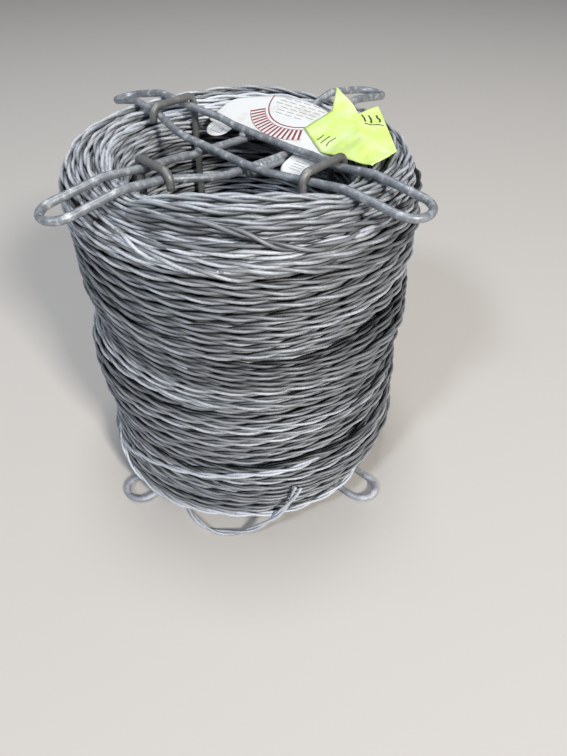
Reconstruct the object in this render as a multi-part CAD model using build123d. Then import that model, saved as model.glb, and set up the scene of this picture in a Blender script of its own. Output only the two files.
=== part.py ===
"""Spool of plain twisted two-strand fence wire on its welded rod carrier.

Millimetres, +Z up. The origin is on the floor, under the axis of the coil, and +X runs along link A.
"""
from build123d import *
from math import asin, atan2, cos, pi, radians, sin, sqrt, tan
import os

# Wire and carrier rod
CABLE_D = 5.0              # two twisted strands, over their crests
ROD_D = 5.5                # bar of the carrier
BAR_SIDES = 6              # flats that stand for the round of a bar or wire
WELD_GAP = 0.05            # crossed rods lie on each other
SEAT = 0.2                 # play of a bent hook round the rod that it holds

# Wire coil
COIL_D = 274.0             # over the barrel, low down
COIL_TOP_D = 260.0         # where the top shoulder starts
COIL_H = 283.5             # crown to crown
BORE_D = 160.0
TOP_SHOULDER = 24.0
BOTTOM_SHOULDER = 12.0
BORE_LIP = 26.0            # radius at which the turns roll over into the bore
TURN_PITCH = 13.0          # ridges across an end, crest to crest
TURN_GROOVE = 1.6

# Links: long closed loops of rod, two crossed over each end of the coil
LINK_REACH = 153.0         # axis of the coil to the rod's centre at a loop's tip
CENTRE_GAP = 42.0          # between the rods of a link over the bore, centre to centre
LOOP_GAP = 27.0            # the same beyond the hooks
LINK_DISH = 7.0            # link A's centre line below the crown, over the bore
PINCH_START = 46.0         # where the two rods start to close up
CLIMB_START = 32.0         # where a top link's rod starts to rise to the crown, under the hooks
CROWN_REACH = 118.0        # where a loop leaves the crown
RIDE_GAP = 0.3             # rod above the crests of the turns that it rides on
TOP_DROOP = 5.0
BOTTOM_DROOP = 1.5
LINK_B_TURN = 85.6         # degrees, from link A to link B
LAP_LENGTH = 34.0          # both ends of link B's rod lie side by side and are welded
LAP_DROP = 30.0            # degrees, how far the lapped end sits below its neighbour
LAP_SINK = 1.2

# Hooked core rods
HOOK_LEG = 5.0             # straight stub after the last bend
HOOK_MARGIN = 1.0          # straight link rod on each side of a hook
WALL_GAP = 0.3             # core rod to bore wall

# Loose end of the wire: degrees from link A, radius and height, from the coil to the cut end
TAIL_ROUTE = [
    (-83.0, 122.0, 3.0),
    (-75.5, 127.0, 2.8),
    (-68.5, 137.0, 2.6),
    (-61.0, 145.0, 2.6),
    (-52.5, 143.6, 2.6),
    (-46.0, 141.4, 6.6),
    (-40.3, 140.6, 16.6),
    (-35.8, 140.2, 28.0),
    (-32.4, 139.8, 42.0),
    (-30.0, 139.6, 56.5),
]
TAIL_ARC_SHARE = 0.45      # share of the shorter run that a bend may use

# Label card, slid in under link A
CARD_T = 0.8
CARD_LEFT = -67.0
CARD_RIGHT = 56.0
CARD_NEAR = 26.0           # straight edge, behind link A's rod
CARD_FAR = 75.0            # crest of the far edge, which is an arc and lies on a hook of link B
CARD_ARC_R = 86.0
CARD_ARC_X = -8.0
CARD_CORNER = 5.0
CARD_SLOPE = 17.6          # degrees, rising from link A over the hook
CARD_GAP = 0.3             # under link A's rod
EAR_W = 22.0
EARS = [(-49.0, 12.8), (40.0, 2.0)]    # middle of each ear and how far it reaches

# Lot tag: a crumpled sheet on the card and the crown. Corners in order, x and y, and height where
# the corner doesn't lie on the card. Between the last and the first of them a flap stands up.
TAG_T = 0.8
TAG_GAP = 0.3
TAG_CORNERS = [
    (23.0, 72.5, None),
    (16.8, 47.4, None),
    (46.1, 31.1, None),
    (85.0, 21.5, 289.0),
    (98.0, 20.5, 290.3),
    (95.9, 51.9, 289.8),
    (44.1, 101.2, 297.0),
    (44.1, 76.5, None),
]
TAG_FLAP_SHOULDER = (35.7, 81.0, 300.3)
TAG_FLAP_TIP = (14.4, 87.0, 307.0)
TAG_MIDDLE = (63.3, 53.3, 292.5)
TAG_FACING = Vector(0, -0.6, 0.8)

# Worked out from the above
ROD_R = ROD_D / 2
BORE_R = BORE_D / 2
RIDE = ROD_R + RIDE_GAP
BOTTOM_CROWN = ROD_R + RIDE
TOP_CROWN = BOTTOM_CROWN + COIL_H
HOOK_R = ROD_D + SEAT
HOOK_SIDE = LOOP_GAP / 2 + HOOK_R
HOOK_OUT = sqrt((BORE_R - ROD_R - WALL_GAP) ** 2 - HOOK_SIDE**2)
PINCH_END = HOOK_OUT - ROD_R - HOOK_MARGIN
BOTTOM_CLIMB_START = HOOK_OUT + ROD_R + HOOK_MARGIN   # beyond the hooks, which stay off the floor
DISH_A = LINK_DISH
DISH_B = LINK_DISH + ROD_D + WELD_GAP


def end_outline(shoulder, shoulder_r):
    """One end of the coil as radius and depth below the crown, from the bore to the barrel.

    The end rolls over the lip of the bore and down the outer shoulder. Its points lie in turn in
    the groove between two turns of wire and on the crest of one.
    """
    lip = BORE_LIP * pi / 2
    flat = shoulder_r - shoulder - BORE_R - BORE_LIP
    length = lip + flat + shoulder * pi / 2
    turns = round(length / TURN_PITCH)
    points = []
    for i in range(2 * turns + 1):
        along = length * i / (2 * turns)
        sink = TURN_GROOVE if i % 2 == 0 else 0.0
        if along < lip:
            angle = along / BORE_LIP
            reach = BORE_LIP - sink
            points.append((BORE_R + BORE_LIP - reach * cos(angle), BORE_LIP - reach * sin(angle)))
        elif along < lip + flat:
            points.append((BORE_R + BORE_LIP + along - lip, sink))
        else:
            angle = (along - lip - flat) / shoulder
            reach = shoulder - sink
            points.append((shoulder_r - shoulder + reach * sin(angle), shoulder - reach * cos(angle)))
    return points


def wire_coil():
    """The wound wire: one turned solid with its bore, and its turns as ridges on both ends."""
    top = [(r, TOP_CROWN - depth) for r, depth in end_outline(TOP_SHOULDER, COIL_TOP_D / 2)]
    bottom = [(r, BOTTOM_CROWN + depth) for r, depth in end_outline(BOTTOM_SHOULDER, COIL_D / 2)]
    outline = Polyline(*top, *reversed(bottom), close=True)
    return revolve(Plane.XZ * make_face(outline), Axis.Z)


def bar_section(diameter):
    """The section of a bar or wire, with its corners up and down."""
    return RegularPolygon(diameter / 2, BAR_SIDES, rotation=180 / BAR_SIDES)


def bent_bar(path, diameter, across=None):
    """A bar or wire along a path of straight runs, joined by arcs or, at radius 0, by mitres.

    across is level and square to the first run, so that the corners of the section point up and
    down.
    """
    along = path % 0
    start = Plane(origin=path @ 0, x_dir=across or along.cross(Vector(0, 0, 1)), z_dir=along)
    return sweep(start * bar_section(diameter), path=path, transition=Transition.RIGHT)


def climb(start, dish):
    """Slope in radians of a rod that climbs from start out of the bore and onto the crown.

    It climbs in the line that just clears the lip over which the turns roll.
    """
    lip_out = sqrt((BORE_R + BORE_LIP) ** 2 - (LOOP_GAP / 2) ** 2)
    across = lip_out - start
    down = BORE_LIP - dish
    return asin((BORE_LIP + RIDE) / sqrt(across**2 + down**2)) - atan2(down, across)


def rod_height(x, dish, climb_start):
    """Height of a link's rod above the crown, at x along the link."""
    rise = max(0.0, x - climb_start) * tan(climb(climb_start, dish))
    return min(RIDE, rise - dish)


def link(dish, droop, climb_start, lapped=False):
    """A link along X at the top of the coil, its heights counted from the crown.

    Its rods lie wide apart and sunk over the bore, close up before the hooks, climb onto the
    crown and meet in a round loop at each end. The shallow bends between are mitred.
    """
    wide = CENTRE_GAP / 2
    close = LOOP_GAP / 2
    climb_end = climb_start + (dish + RIDE) / tan(climb(climb_start, dish))
    side = []
    for x in sorted([0.0, PINCH_START, PINCH_END, climb_start, climb_end, CROWN_REACH]):
        pinched = min(max((x - PINCH_START) / (PINCH_END - PINCH_START), 0.0), 1.0)
        side.append((x, wide + (close - wide) * pinched, rod_height(x, dish, climb_start)))
    side.append((LINK_REACH, close, RIDE - droop))
    points = side + [(x, -y, z) for x, y, z in reversed(side)]
    mitres = [0] * (len(side) - 2)
    tip = [close - WELD_GAP] * 2
    half = bent_bar(FilletPolyline(*points, radius=mitres + tip + mitres), ROD_D)
    whole = half + mirror(half, about=Plane.YZ)
    if lapped:
        apart = ROD_D - LAP_SINK
        beside = wide + apart * cos(radians(LAP_DROP))
        below = dish + apart * sin(radians(LAP_DROP))
        lap = extrude(Plane.YZ * bar_section(ROD_D), LAP_LENGTH / 2, both=True)
        whole += Pos(0, -beside, -below) * lap
    return whole


def at_top(piece, turn=0.0):
    """A piece made from the crown up, turned about the axis and set on top of the coil."""
    return Pos(0, 0, TOP_CROWN) * Rot(0, 0, turn) * piece


def at_bottom(piece, turn=0.0):
    """The same piece in mirror image, under the coil."""
    return Pos(0, 0, BOTTOM_CROWN) * Rot(0, 0, turn) * mirror(piece, about=Plane.XY)


def core_rod(dish, turn):
    """A rod down the wall of the bore, hooked at each end over both rods of a link."""
    over_rod = HOOK_R / cos(climb(CLIMB_START, dish))
    top_bar = TOP_CROWN + rod_height(HOOK_OUT, dish, CLIMB_START) + over_rod
    bottom_bar = BOTTOM_CROWN + dish - HOOK_R
    leg = HOOK_R + HOOK_LEG
    points = [
        (HOOK_OUT, HOOK_SIDE, top_bar - leg),
        (HOOK_OUT, HOOK_SIDE, top_bar),
        (HOOK_OUT, -HOOK_SIDE, top_bar),
        (HOOK_OUT, -HOOK_SIDE, bottom_bar),
        (HOOK_OUT, HOOK_SIDE, bottom_bar),
        (HOOK_OUT, HOOK_SIDE, bottom_bar + leg),
    ]
    path = FilletPolyline(*points, radius=[HOOK_R] * 4)
    return Rot(0, 0, turn) * bent_bar(path, ROD_D, across=Vector(1, 0, 0))


def wire_tail():
    """The loose end of the wire: out from under the coil, along the floor and up against the barrel."""
    points = []
    for turn, radius, height in TAIL_ROUTE:
        points.append(Vector(radius * cos(radians(turn)), radius * sin(radians(turn)), height))
    radii = []
    for before, corner, after in zip(points, points[1:], points[2:]):
        half_turn = radians((corner - before).get_angle(after - corner)) / 2
        run = min((corner - before).length, (after - corner).length)
        radii.append(TAIL_ARC_SHARE * run / tan(half_turn))
    print("wire_tail bend radii", [round(radius) for radius in radii])
    path = FilletPolyline(*points, radius=radii)
    tail = bent_bar(path, CABLE_D)
    by_volume = tail.volume / bar_section(CABLE_D).area
    print("wire_tail length", round(path.length, 1), "and by its volume", round(by_volume, 1))
    return tail


def card_height(y):
    """Height of the card's upper face at y."""
    under_rod = TOP_CROWN - DISH_A - ROD_R - CARD_GAP
    return under_rod + (y - CENTRE_GAP / 2) * tan(radians(CARD_SLOPE))


def label_card():
    """The die-cut card: a body with an arc for its far edge and two ears that reach under link A."""
    slope = cos(radians(CARD_SLOPE))
    middle = (CARD_LEFT + CARD_RIGHT) / 2
    depth = (CARD_FAR - CARD_NEAR) / slope
    sheet = Pos(middle, CARD_NEAR / slope + depth / 2) * Rectangle(CARD_RIGHT - CARD_LEFT, depth)
    body = sheet & Pos(CARD_ARC_X, CARD_FAR / slope - CARD_ARC_R) * Circle(CARD_ARC_R)
    outline = fillet(body.vertices(), radius=CARD_CORNER)
    for x, reach in EARS:
        base = (CARD_NEAR + CARD_CORNER) / slope
        tip = (reach + EAR_W / 2) / slope
        outline += Pos(x, (base + tip) / 2) * Rectangle(EAR_W, base - tip)
        outline += Pos(x, tip) * Circle(EAR_W / 2)
    card = extrude(outline, -CARD_T)
    return Pos(0, 0, card_height(0)) * Rot(CARD_SLOPE, 0, 0) * card


def lot_tag():
    """The crumpled sheet: flat facets between its corners and its middle, and the standing flap."""
    corners = []
    for x, y, height in TAG_CORNERS:
        on_card = card_height(y) + TAG_GAP
        corners.append(Vector(x, y, on_card if height is None else height))
    middle = Vector(*TAG_MIDDLE)
    shoulder = Vector(*TAG_FLAP_SHOULDER)
    tip = Vector(*TAG_FLAP_TIP)
    facets = [(a, b, middle) for a, b in zip(corners, corners[1:] + corners[:1])]
    facets.append((corners[-1], shoulder, corners[0]))
    facets.append((shoulder, tip, corners[0]))
    outline = corners + [shoulder, tip]
    rise = TAG_FACING * TAG_T
    faces = []
    for facet in facets:
        faces.append(Face(Wire.make_polygon(facet)))
        faces.append(Face(Wire.make_polygon([point + rise for point in facet])))
    for a, b in zip(outline, outline[1:] + outline[:1]):
        faces.append(Face(Wire.make_polygon([a, b, b + rise, a + rise])))
    return Solid(Shell(faces))


parts = {
    "wire_coil": wire_coil(),
    "wire_tail": wire_tail(),
    "top_link_a": at_top(link(DISH_A, TOP_DROOP, CLIMB_START)),
    "top_link_b": at_top(link(DISH_B, TOP_DROOP, CLIMB_START, lapped=True), LINK_B_TURN),
    "bottom_link_a": at_bottom(link(DISH_A, BOTTOM_DROOP, BOTTOM_CLIMB_START)),
    "bottom_link_b": at_bottom(link(DISH_B, BOTTOM_DROOP, BOTTOM_CLIMB_START, lapped=True), LINK_B_TURN),
    "core_rod_1": core_rod(DISH_A, 0),
    "core_rod_2": core_rod(DISH_B, LINK_B_TURN),
    "core_rod_3": core_rod(DISH_A, 180),
    "core_rod_4": core_rod(DISH_B, LINK_B_TURN + 180),
    "label_card": label_card(),
    "lot_tag": lot_tag(),
}

os.makedirs("parts", exist_ok=True)
for name, solid in parts.items():
    export_step(solid, f"parts/{name}.step")
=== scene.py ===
"""Looks of a spool of plain twisted fence wire, wound on a carrier of bent and welded rod."""
import math

import bmesh
import bpy
import numpy as np
from mathutils import Matrix, Vector, noise


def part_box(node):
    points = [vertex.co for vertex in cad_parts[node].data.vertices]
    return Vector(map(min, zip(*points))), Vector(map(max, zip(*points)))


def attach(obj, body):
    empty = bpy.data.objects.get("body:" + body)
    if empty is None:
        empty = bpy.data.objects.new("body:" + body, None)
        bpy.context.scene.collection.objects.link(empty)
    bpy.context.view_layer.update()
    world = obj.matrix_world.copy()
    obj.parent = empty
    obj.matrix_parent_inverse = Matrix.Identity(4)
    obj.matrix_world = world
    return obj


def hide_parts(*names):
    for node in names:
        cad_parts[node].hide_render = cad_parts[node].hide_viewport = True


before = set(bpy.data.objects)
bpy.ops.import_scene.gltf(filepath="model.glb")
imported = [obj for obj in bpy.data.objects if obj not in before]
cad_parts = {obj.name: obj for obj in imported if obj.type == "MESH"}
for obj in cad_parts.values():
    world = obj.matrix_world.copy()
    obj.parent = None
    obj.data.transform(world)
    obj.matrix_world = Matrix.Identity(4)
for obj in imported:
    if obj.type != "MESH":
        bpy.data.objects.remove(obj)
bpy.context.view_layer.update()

# Wound wire
# Two 2.5 mm strands of drawn steel, hot-dip galvanised and twisted together with no barbs, wound in
# layers of nearly level turns. Out of doors the zinc has dulled to grey with chalky white patches.
MM = 0.001
STRAND_R = 1.3              # a little thick, so that a pair still reads as twisted from some way off
CABLE_D = 5.0
LAY = 54.0                  # length of wire in which a strand goes once round
NESTED_R = 2.35             # half the height that a turn takes up among its neighbours
STRAND_SIDES = 6
TUBE_STEP = 6.4             # from one ring of a strand's mesh to the next
STEPS = 144                 # places round the coil where a turn's height is worked out
CELL = 0.6                  # from one such place to the next along the coil's outline
BORE_R = 80.0
LIP_R = 26.0
TOP_SHOULDER_R = 24.0
BOTTOM_SHOULDER_R = 12.0
TOP_BARREL_R = 130.0

coil_low, coil_high = (np.array(corner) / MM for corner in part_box("wire_coil"))
BOTTOM_CROWN = coil_low[2]
TOP_CROWN = coil_high[2]
BARREL_R = round(coil_high[0], 1)
UPWARD = np.array([0.0, 0.0, 1.0])


def outline_of_coil():
    """The coil's outline from the foot of the bore, up, over the crown, down and back.

    Rows of distance along it, radius, height and the outward direction's two parts.
    """
    lip_mid = BORE_R + LIP_R
    low_lip = BOTTOM_CROWN + LIP_R
    top_lip = TOP_CROWN - LIP_R
    top_mid = TOP_BARREL_R - TOP_SHOULDER_R
    foot_mid = BARREL_R - BOTTOM_SHOULDER_R
    low_shoulder = BOTTOM_CROWN + BOTTOM_SHOULDER_R
    rows = []

    def straight(start, end, out):
        count = max(2, round(math.dist(start, end)))    # one place a millimetre
        for share in np.linspace(0, 1, count, endpoint=False):
            place = [a + (b - a) * share for a, b in zip(start, end)]
            rows.append((*place, *out))

    def round_part(middle, radius, start, end):
        count = round(radius * 1.5)     # the same over a quarter turn
        for angle in np.radians(np.linspace(start, end, count, endpoint=False)):
            out = (math.cos(angle), math.sin(angle))
            rows.append((middle[0] + radius * out[0], middle[1] + radius * out[1], *out))

    straight((BORE_R, low_lip), (BORE_R, top_lip), (-1, 0))
    round_part((lip_mid, top_lip), LIP_R, 180, 90)
    round_part((top_mid, TOP_CROWN - TOP_SHOULDER_R), TOP_SHOULDER_R, 90, 0)
    straight((TOP_BARREL_R, TOP_CROWN - TOP_SHOULDER_R), (BARREL_R, low_shoulder), (1, 0))
    round_part((foot_mid, low_shoulder), BOTTOM_SHOULDER_R, 0, -90)
    straight((foot_mid, BOTTOM_CROWN), (lip_mid, BOTTOM_CROWN), (0, -1))
    round_part((lip_mid, low_lip), LIP_R, -90, -180)
    rows = np.array(rows)
    gaps = np.hypot(*np.diff(rows[:, :2], axis=0, append=rows[:1, :2]).T)
    return np.column_stack([np.cumsum(gaps) - gaps, rows]), gaps.sum()


OUTLINE, GIRTH = outline_of_coil()
# Where the parts of the outline start, as distances along it
BORE_TOP = TOP_CROWN - BOTTOM_CROWN - 2 * LIP_R
CROWN = BORE_TOP + LIP_R * math.pi / 2
BARREL_TOP = CROWN + TOP_SHOULDER_R * math.pi / 2
BARREL_FOOT = BARREL_TOP + TOP_CROWN - TOP_SHOULDER_R - BOTTOM_CROWN - BOTTOM_SHOULDER_R
FOOT_FLAT = BARREL_FOOT + BOTTOM_SHOULDER_R * math.pi / 2
# By distance along the outline, how far below it the winding starts, so that its outer turns end at
# the outline, and how far out a turn's middle can come before it would stand proud
DEPTHS = [(0, 5), (BORE_TOP, 10), (CROWN, 15), (BARREL_TOP, 15), (BARREL_FOOT - 20, 14.5),
          (BARREL_FOOT, 13), (FOOT_FLAT, 4.8), (GIRTH, 4.8)]
CEILING = [(0, -2.3), (BARREL_TOP - 12, -2.0), (BARREL_TOP + 12, -1.3), (BARREL_FOOT - 30, -1.3),
           (BARREL_FOOT, -2.0), (GIRTH, -2.3)]
# How much thinner the winding is on link A's plus side, and thicker opposite, and what share of that
# holds by distance along the outline
LEAN = 4.0
LEAN_SHARE = [(BORE_TOP, 0), (BARREL_TOP, 1), (BARREL_FOOT, 1), (GIRTH, 0)]
# How far the crown heaps up between the links and is pressed down under them, by degrees from link A
CROWN_RISE = [(-106, -3.9), (-83, -3.9), (-64, 5), (-47, 7.5), (-29, 5.5), (-11, -3.2), (11, -3.2),
              (25, 1), (60, 2), (73, 4), (98, 4), (115, 5), (135, 4.5), (160, 3), (192, 3), (215, 2.5),
              (235, 1), (254, -3.9)]
RISE_SHARE = [(BORE_TOP, 0), (BORE_TOP + 15, 1), (CROWN + 8, 1), (BARREL_TOP, 0)]
# How far the turns of the barrel are off centre toward one side, by height
SWAY_TOWARD = 46.4          # degrees from link A
SWAY = [(8, 0), (26, -3.5), (48, 1), (66, 4), (80, 2.5), (96, -1), (120, -4), (138, -4), (154, 1), (170, 8),
        (184, 5), (198, 0.5), (230, 1.5), (262, 0)]
SWAY_SHARE = [(BARREL_TOP, 0), (BARREL_TOP + 10, 1), (BARREL_FOOT, 1), (FOOT_FLAT, 0)]


def read_off(table, at):
    """What a table of (place, value) gives at places between its own."""
    return np.interp(at, *zip(*table))


def on_outline(along, angle, out):
    """Points at a distance along the outline, an angle and a distance out from it."""
    along = np.mod(along, GIRTH)
    table = np.vstack([OUTLINE, [GIRTH, *OUTLINE[0, 1:]]])
    radius, height, out_r, out_z = (np.interp(along, table[:, 0], column) for column in table[:, 1:].T)
    size = np.hypot(out_r, out_z)
    out_r, out_z = out_r / size, out_z / size
    radius = radius + out * out_r
    points = np.column_stack([radius * np.cos(angle), radius * np.sin(angle), height + out * out_z])
    outward = np.column_stack([out_r * np.cos(angle), out_r * np.sin(angle), out_z])
    return points, outward


def smooth(values, reach):
    """Values averaged over their neighbours, up to about reach places away."""
    weight = np.exp(-0.5 * (np.arange(-2 * reach, 2 * reach + 1) / reach) ** 2)
    padded = np.pad(values, 2 * reach, mode="edge")
    return np.convolve(padded, weight / weight.sum(), mode="valid")


def wander(draw, count, reach):
    """A smooth random wander about 0, of spread 1."""
    margin = 4 * reach
    values = smooth(draw.standard_normal(count + 2 * margin), reach)[margin:count + margin]
    return values / (values.std() + 1e-9)


def shared_drift(draw, rows, reach_rows, reach_steps):
    """A smooth random field over the outline and the angle, of spread 1 and closed round the coil.

    It takes turns that lie side by side astray together.
    """
    field = draw.standard_normal((rows, STEPS))
    field = np.apply_along_axis(smooth, 0, field, reach_rows)
    wrapped = np.apply_along_axis(smooth, 1, np.tile(field, 3), reach_steps)
    field = wrapped[:, STEPS:2 * STEPS]
    return (field - field.mean()) / field.std()


def rise(along, angle):
    """How far the winding stands out of its outline, or below 0 is pressed in, at angles in degrees."""
    first = CROWN_RISE[0][0]
    on_crown = read_off(RISE_SHARE, along)
    share = on_crown**2 * (3 - 2 * on_crown)
    sway = read_off(SWAY, np.interp(along, OUTLINE[:, 0], OUTLINE[:, 2]))
    return (share * read_off(CROWN_RISE, np.mod(angle - first, 360) + first)
            + read_off(SWAY_SHARE, along) * sway * np.cos(np.radians(angle - SWAY_TOWARD)))


draw = np.random.default_rng(41)        # one source of chance for all of the wire
FIELD_ROW = 4.0             # from one row of the shared drift to the next
drift_field = shared_drift(draw, math.ceil(GIRTH / FIELD_ROW) + 1, reach_rows=5, reach_steps=14)
# The heap is how far out the winding has come so far, in cells along the outline and round the coil
heap_rows = np.arange(math.ceil(GIRTH / CELL)) * CELL
heap = -read_off(DEPTHS, heap_rows)[:, None] - LEAN * read_off(LEAN_SHARE, heap_rows)[:, None] * np.cos(
    np.arange(STEPS) * math.tau / STEPS)
heap += rise(heap_rows[:, None], np.arange(STEPS)[None] * 360 / STEPS)
REACH = math.ceil(NESTED_R / CELL)
BARE = -99.0                # lower than anything in the heap
STIFF = 3                   # over how many places to each side a turn bridges what is under it
SLIDE_COST = 0.15           # how much lower a turn has to rest for each millimetre that it slides


def seats(along, columns):
    """The heap's cells under turns, half the wire's thickness over each, and where turns would rest."""
    rows = np.floor(along[:, None] / CELL).astype(int) + np.arange(-REACH, REACH + 1)
    half = np.sqrt(np.maximum(NESTED_R**2 - (rows * CELL - along[:, None]) ** 2, 0))
    rows = rows % len(heap_rows)
    column = np.broadcast_to(columns[:, None], rows.shape)
    touch = np.where(half > 0, heap[rows, column] + half, BARE).max(1)
    return rows, column, half, touch


def lay_on_heap(rows, column, half, rest):
    """Raises the heap's cells to the outer side of the turns that lie on them."""
    np.maximum.at(heap, (rows, column), np.where(half > 0, rest[:, None] + half, BARE))


def bridged(touch):
    """The highest of each place and its near neighbours, as a stiff wire bridges the gaps."""
    return np.maximum.reduce([np.roll(touch, k) for k in range(-STIFF, STIFF + 1)])


def kept_under(ceiling, rest):
    """Heights that level off just under a ceiling."""
    return ceiling - np.logaddexp(0, ceiling - rest)


def rest_on_heap(along, columns, slide):
    """Lays turns on what is wound already, and gives where they come to rest.

    A turn slides up to slide to the side, off a hump and into a gap between its neighbours.
    """
    along = along.copy()
    out = np.zeros(len(along))
    tries = np.arange(-slide, slide + 1.0)
    last_aside = last = None
    for start in range(0, len(along), STEPS):
        part = slice(start, start + STEPS)
        fade = np.exp(-np.arange(len(along[part])) / (3 * STIFF))
        cost = [smooth(seats(along[part] + aside, columns[part])[3], STIFF) + SLIDE_COST * abs(aside)
                for aside in tries]
        aside = smooth(tries[np.argmin(cost, axis=0)], 2 * STIFF)
        if last is not None:
            aside += (last_aside - aside[0]) * fade
        last_aside = aside[-1]
        along[part] += aside
        rows, column, half, touch = seats(along[part], columns[part])
        rest = smooth(0.5 * (bridged(touch) + touch), STIFF)
        if last is not None:
            rest += (last - rest[0]) * fade
        last = rest[-1]
        ceiling = read_off(CEILING, along[part]) + rise(along[part], columns[part] * 360 / STEPS)
        out[part] = kept_under(ceiling, rest)
        lay_on_heap(rows, column, half, out[part])
    return along, out


def tucked_in(count, depth, steps):
    """How far below the rest of it a length of wire goes into the winding, at its two ends."""
    step = np.arange(count)
    return depth * np.clip(1 - np.minimum(step, step[::-1]) / steps, 0, 1) ** 2


LONG_BEND = 9               # over how many places a turn bends its own way
SHORT_BEND = 4              # the same for its smaller bends
SHORT_SHARE = 0.35
OVERRUN = 6.0               # how far past the ends of a run its turns can stray


def turns(start, end, pitch, own, shared, bunch=0.0, slide=5.0):
    """A run of turns between two distances along the outline, as points and outward directions.

    own and shared are how far a turn strays by itself and together with its neighbours, bunch is
    how far turns crowd into groups, and slide how far one can slide aside to rest lower.
    """
    count = round(abs(end - start) / pitch * STEPS)
    step = np.arange(count)
    level = start + (end - start) * step / count
    columns = (step + draw.integers(STEPS)) % STEPS
    level = level + bunch * wander(draw, count, 2 * STEPS)
    rows = np.clip(np.mod(level, GIRTH) / FIELD_ROW, 0, len(drift_field) - 1).astype(int)
    level = level + shared * smooth(drift_field[rows, columns], STIFF)
    level = level + own * wander(draw, count, LONG_BEND) + SHORT_SHARE * own * wander(draw, count, SHORT_BEND)
    low, high = sorted((start, end))
    level, out = rest_on_heap(np.clip(level, low - OVERRUN, high + OVERRUN), columns, slide)
    out -= tucked_in(count, depth=3.8 * CABLE_D, steps=10)
    return on_outline(level, columns * math.tau / STEPS, out)


def across_line(centres, outward, closed=False):
    """The two directions across a line of centres at each of them: aside, and up as outward points."""
    if closed:
        along = np.roll(centres, -1, 0) - np.roll(centres, 1, 0)
    else:
        along = np.gradient(centres, axis=0)
    along /= np.linalg.norm(along, axis=1)[:, None]
    aside = np.cross(along, outward)
    aside /= np.linalg.norm(aside, axis=1)[:, None]
    return aside, np.cross(aside, along)


def tube(centres, outward, radius, sides, closed=False):
    """Rings round a line of centres, as points and four-sided faces with closed ends."""
    aside, up = across_line(centres, outward, closed)
    angles = np.arange(sides) * math.tau / sides
    radius = np.broadcast_to(radius, len(centres))[:, None, None]
    ring = up[:, None] * np.cos(angles)[:, None] + aside[:, None] * np.sin(angles)[:, None]
    points = (centres[:, None] + radius * ring).reshape(-1, 3)
    rings = len(centres)
    first = np.arange(rings if closed else rings - 1)[:, None] * sides
    side = np.arange(sides)
    after = (side + 1) % sides
    ahead = (first + sides) % (rings * sides)
    faces = np.stack([first + side, first + after, ahead + after, ahead + side], -1).reshape(-1, 4)
    if not closed:
        cap = np.array([(0, k + 2, k + 1, k) for k in range(1, sides - 2, 2)])
        far = (rings - 1) * sides + cap[:, ::-1]
        faces = np.vstack([faces, cap, far])
    return points, faces


def twisted_pair(centres, outward, start_turn, step=TUBE_STEP, spread=None):
    """Both strands of a length of wire, as points and faces, with two values for each point.

    They are its place along the wire, and how far it faces out of the winding, from -1 to 1.
    spread gives how far a strand's middle is from the wire's at places along it.
    """
    lengths = np.linalg.norm(np.diff(centres, axis=0), axis=1)
    place = np.concatenate([[0], np.cumsum(lengths)])
    count = max(4, round(place[-1] / step))
    even = np.linspace(0, place[-1], count)
    centres = np.column_stack([np.interp(even, place, column) for column in centres.T])
    outward = np.column_stack([np.interp(even, place, column) for column in outward.T])
    aside, up = across_line(centres, outward)
    apart = np.full(count, STRAND_R) if spread is None else spread(even)
    points, faces, places, facing = [], [], [], []
    ring_facing = np.cos(np.arange(STRAND_SIDES) * math.tau / STRAND_SIDES)
    for strand in (0, math.pi):
        turn = (start_turn + even * math.tau / LAY + strand)[:, None]
        line = centres + apart[:, None] * (up * np.cos(turn) + aside * np.sin(turn))
        strand_points, strand_faces = tube(line, up, STRAND_R, STRAND_SIDES)
        faces.append(strand_faces + sum(len(p) for p in points))
        points.append(strand_points)
        places.append(np.repeat(even, STRAND_SIDES))
        facing.append(((np.cos(turn) + ring_facing) / 2).ravel())
    return np.vstack(points), np.vstack(faces), np.concatenate(places), np.concatenate(facing)


def mesh_piece(name, points, faces, material, tone=None):
    """A smooth mesh object from points in millimetres; tone is a shade for each point."""
    mesh = bpy.data.meshes.new(name)
    mesh.from_pydata(points * MM, [], faces)
    if tone is not None:
        mesh.attributes.new("shade", "FLOAT", "POINT").data.foreach_set("value", tone.astype(np.float32))
    mesh.polygons.foreach_set("use_smooth", np.ones(len(mesh.polygons), bool))
    mesh.update()
    mesh.materials.append(material)
    piece = bpy.data.objects.new(name, mesh)
    bpy.context.scene.collection.objects.link(piece)
    return piece


SHADE_STRETCH = 40.0        # length of wire that has much the same shade
SHADE_SPREAD = 0.45         # how much such lengths differ
# how much a wire's two sides differ: painted light where it faces out, painted shade where it faces in
FACING_PAINTED_SHADE = 1.3


def wire_piece(name, runs, material, lift):
    """Lengths of wire as one piece, each stretch with a shade of its own.

    A wire is painted pale where it faces out and dark in its grooves, as painted light and painted shade, and
    lift makes the whole piece paler, in places also as painted light.
    """
    points, faces, tones = [], [], []
    for centres, outward in runs:
        pair, pair_faces, places, facing = twisted_pair(centres, outward, draw.uniform(0, math.tau))
        faces.append(pair_faces + sum(len(p) for p in points))
        points.append(pair)
        shades = wander(draw, math.ceil(places.max() / SHADE_STRETCH) + 2, 2)
        shades = SHADE_SPREAD * np.interp(places / SHADE_STRETCH, np.arange(len(shades)), shades)
        # Painted light and painted shade: paler where a strand faces out of the winding, darker in its
        # grooves.
        tones.append(lift + shades + FACING_PAINTED_SHADE * facing)
    piece = mesh_piece(name, np.vstack(points), np.vstack(faces), material, np.concatenate(tones))
    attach(piece, "root")
    return piece


def linear(hex_colour):
    """A hex colour, as seen on a screen, as the linear colour that a shader takes."""
    parts = [int(hex_colour[i:i + 2], 16) / 255 for i in (1, 3, 5)]
    return (*(p / 12.92 if p <= 0.04045 else ((p + 0.055) / 1.055) ** 2.4 for p in parts), 1)


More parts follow.
